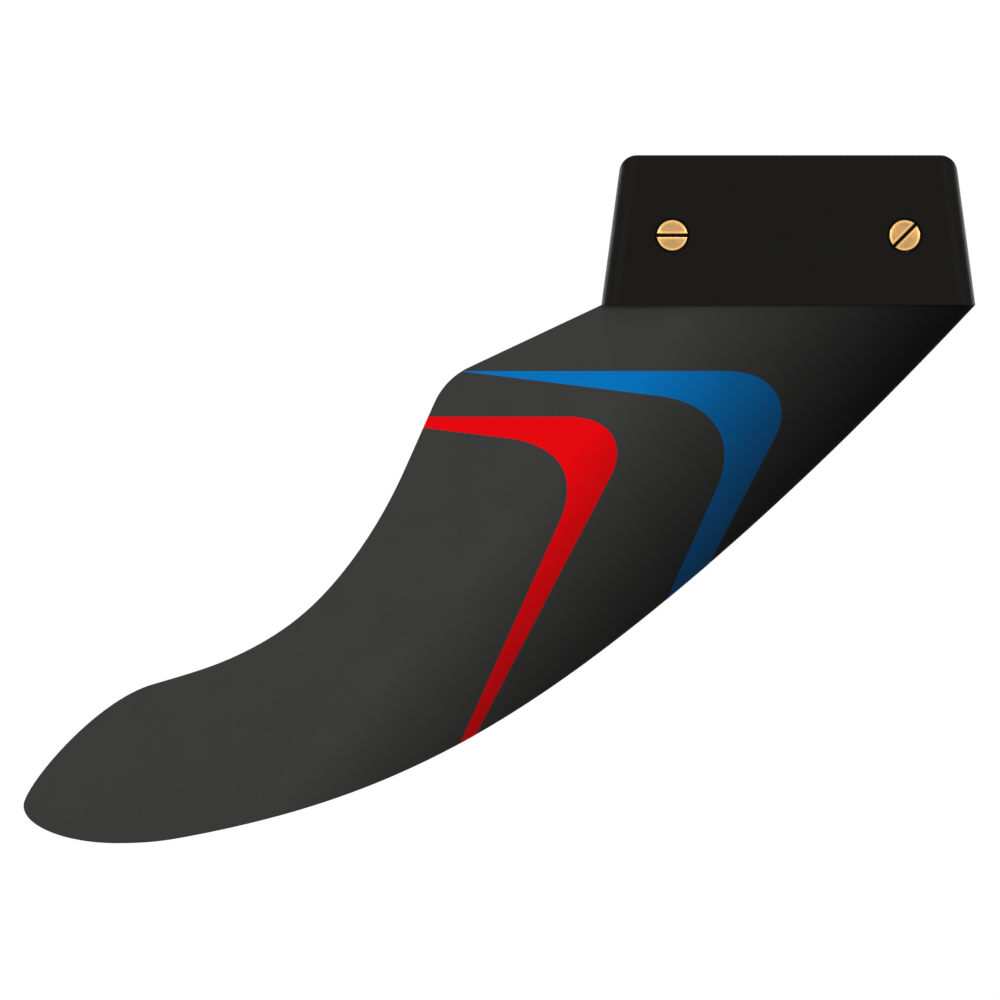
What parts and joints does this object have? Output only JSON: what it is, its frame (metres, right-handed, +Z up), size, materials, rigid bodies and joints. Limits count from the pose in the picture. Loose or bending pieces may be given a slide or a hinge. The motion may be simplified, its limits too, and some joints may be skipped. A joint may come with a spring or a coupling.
{
  "type": "windsurf weed fin",
  "caption": "Raked-back foil fin for a sailboard, on a tapered head that bolts draw up into the board's fin box.",
  "frame": {"origin": "centre of the head's underside, midway between the two bolt axes, level with the board's bottom", "axes": "+X forward (the leading edge's side), +Y across the fin, +Z up into the board, along the bolts"},
  "size_m": [0.3563, 0.017, 0.2575],
  "materials": {
    "blade_laminate": "satin dark grey fibre laminate, darker towards the tip, with one blue and one red bent stripe printed on it",
    "head_resin": "matt black cast resin",
    "nut_brass": "turned and lightly tumbled brass"
  },
  "bodies": {
    "root": {"fin_blade": "blade_laminate", "fin_head": "head_resin", "rear_barrel_nut": "nut_brass", "front_barrel_nut": "nut_brass"}
  },
  "joints": []
}
